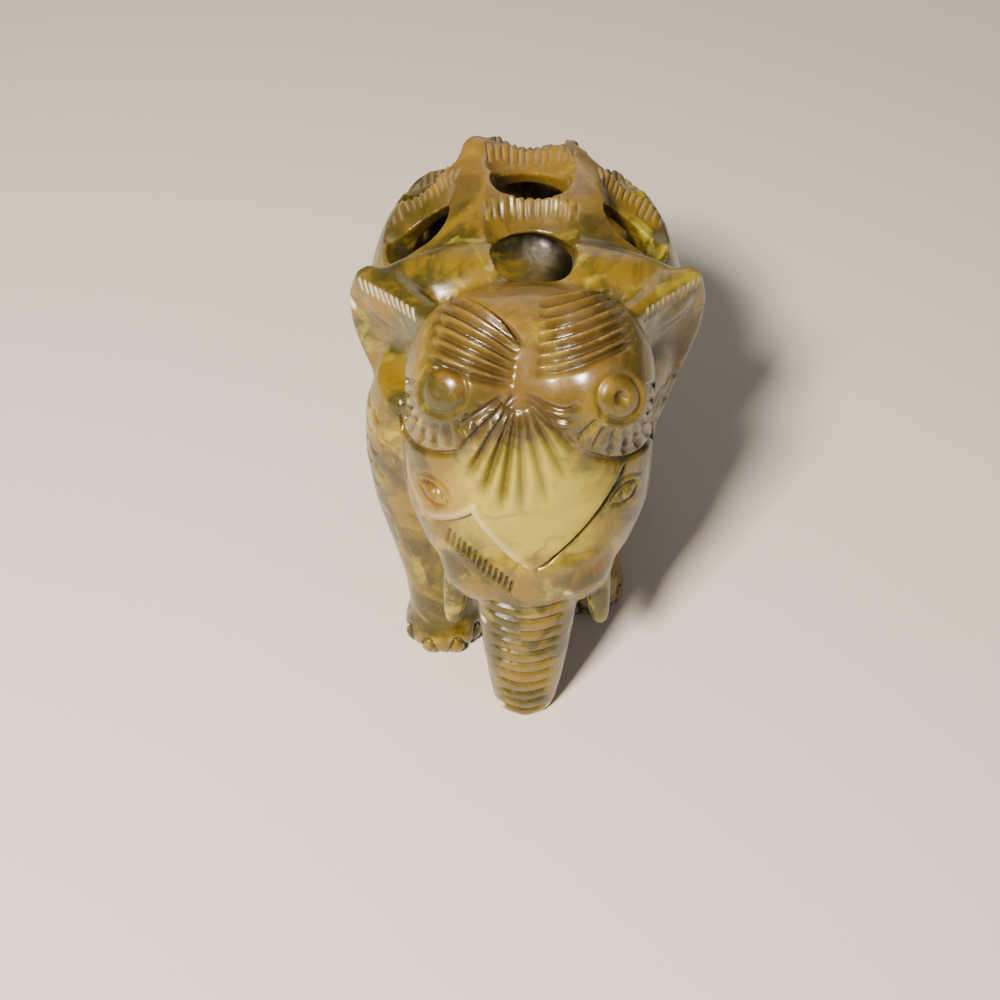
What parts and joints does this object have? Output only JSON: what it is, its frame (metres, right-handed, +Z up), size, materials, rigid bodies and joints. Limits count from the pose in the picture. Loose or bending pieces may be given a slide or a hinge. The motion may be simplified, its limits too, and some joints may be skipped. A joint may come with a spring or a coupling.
{
  "type": "carved soapstone elephant sculpture",
  "caption": "Small standing elephant cut from one block of soapstone, with a hollowed body, pierced scale lattice on the back, ears spread and the trunk hanging to the ground.",
  "frame": {"origin": "on the surface the feet stand on, below the middle of the overall box", "axes": "+Z up, +Y from head to tail, +X towards the elephant's left side"},
  "size_m": [0.0382, 0.0622, 0.05],
  "materials": {
    "soapstone": "hand-polished and waxed, glossy, olive to honey with brown veins"
  },
  "bodies": {
    "root": {"stone_elephant": "soapstone"}
  },
  "joints": []
}
